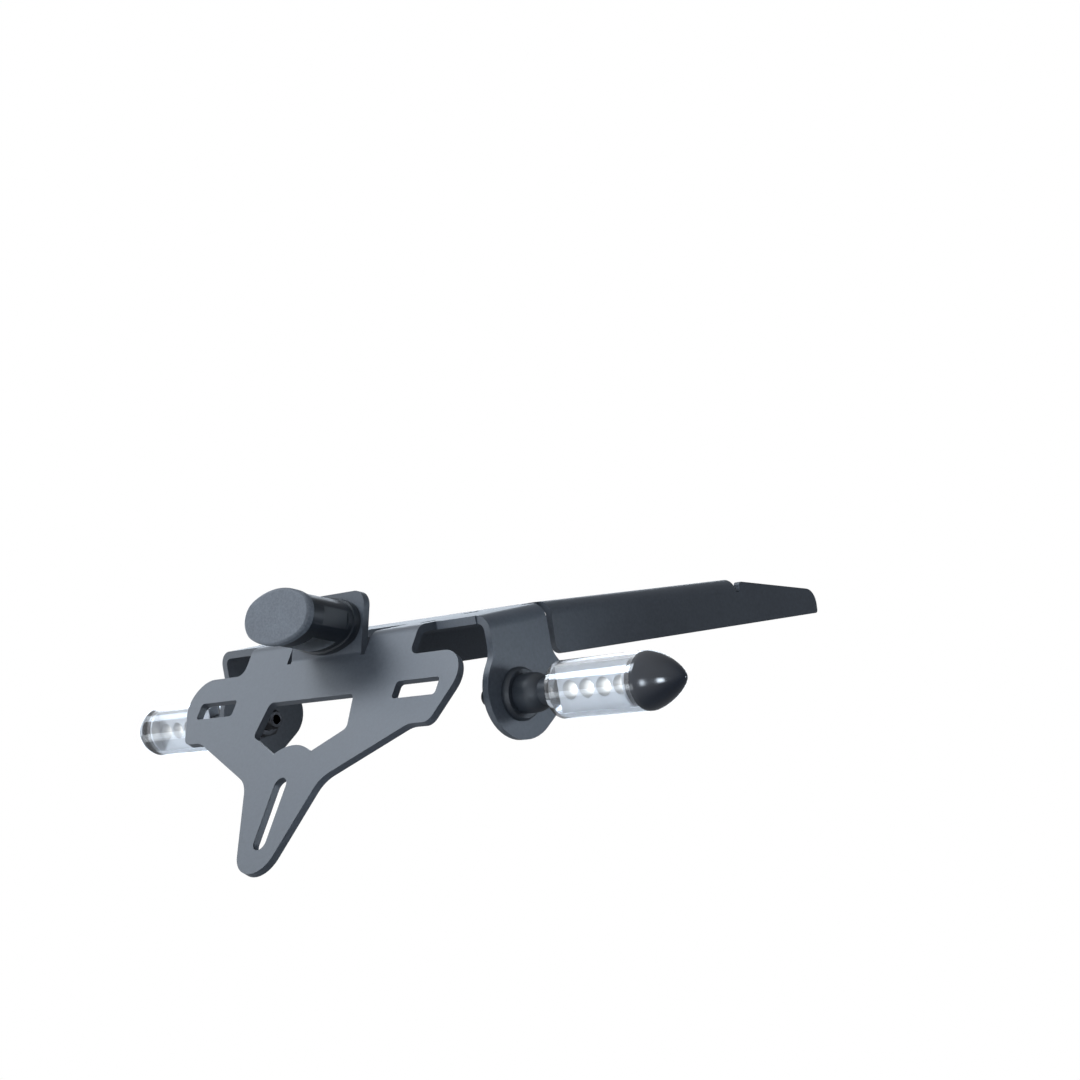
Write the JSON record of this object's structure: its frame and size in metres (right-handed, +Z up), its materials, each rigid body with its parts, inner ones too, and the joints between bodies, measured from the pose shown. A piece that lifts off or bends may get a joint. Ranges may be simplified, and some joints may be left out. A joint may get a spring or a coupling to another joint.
{
  "type": "tail tidy",
  "caption": "Folded sheet-metal number-plate holder for a motorbike tail, with a lamp on a tab, slotted plate carrier and short tubular indicators on side wings.",
  "frame": {"origin": "middle of the four tail bolt holes, on the top face of the level plate", "axes": "+X to the motorbike's right, +Y forward along the motorbike, +Z up; the number plate hangs towards -Y"},
  "size_m": [0.3148, 0.2897, 0.103],
  "materials": {
    "bracket_powder_coat": "satin black powder coat on mild steel sheet",
    "rubber": "moulded black rubber",
    "lamp_body_plastic": "moulded black plastic",
    "lamp_cap_plastic": "fine-textured dark grey plastic",
    "clear_plastic": "clear moulded plastic",
    "bright_reflector": "bright metallised plastic",
    "circuit_board": "white solder mask",
    "led_resin": "clear resin",
    "nose_gloss_plastic": "polished black plastic",
    "zinc_steel": "black zinc-plated steel"
  },
  "bodies": {
    "root": {"main_bracket": "bracket_powder_coat", "lamp_gasket": "rubber", "lamp_housing": "lamp_body_plastic", "lamp_end_cap": "lamp_cap_plastic", "lamp_lens": "clear_plastic", "lamp_led_board": "circuit_board", "lamp_leds": "led_resin", "lamp_screws": "zinc_steel", "left_indicator_base": "rubber", "left_indicator_stem": "rubber", "left_indicator_lens": "clear_plastic", "left_indicator_reflector": "bright_reflector", "left_indicator_led_board": "circuit_board", "left_indicator_leds": "led_resin", "left_indicator_nose": "nose_gloss_plastic", "left_indicator_stud": "zinc_steel", "left_indicator_washer": "zinc_steel", "left_indicator_nut": "zinc_steel", "right_indicator_base": "rubber", "right_indicator_stem": "rubber", "right_indicator_lens": "clear_plastic", "right_indicator_reflector": "bright_reflector", "right_indicator_led_board": "circuit_board", "right_indicator_leds": "led_resin", "right_indicator_nose": "nose_gloss_plastic", "right_indicator_stud": "zinc_steel", "right_indicator_washer": "zinc_steel", "right_indicator_nut": "zinc_steel"}
  },
  "joints": []
}
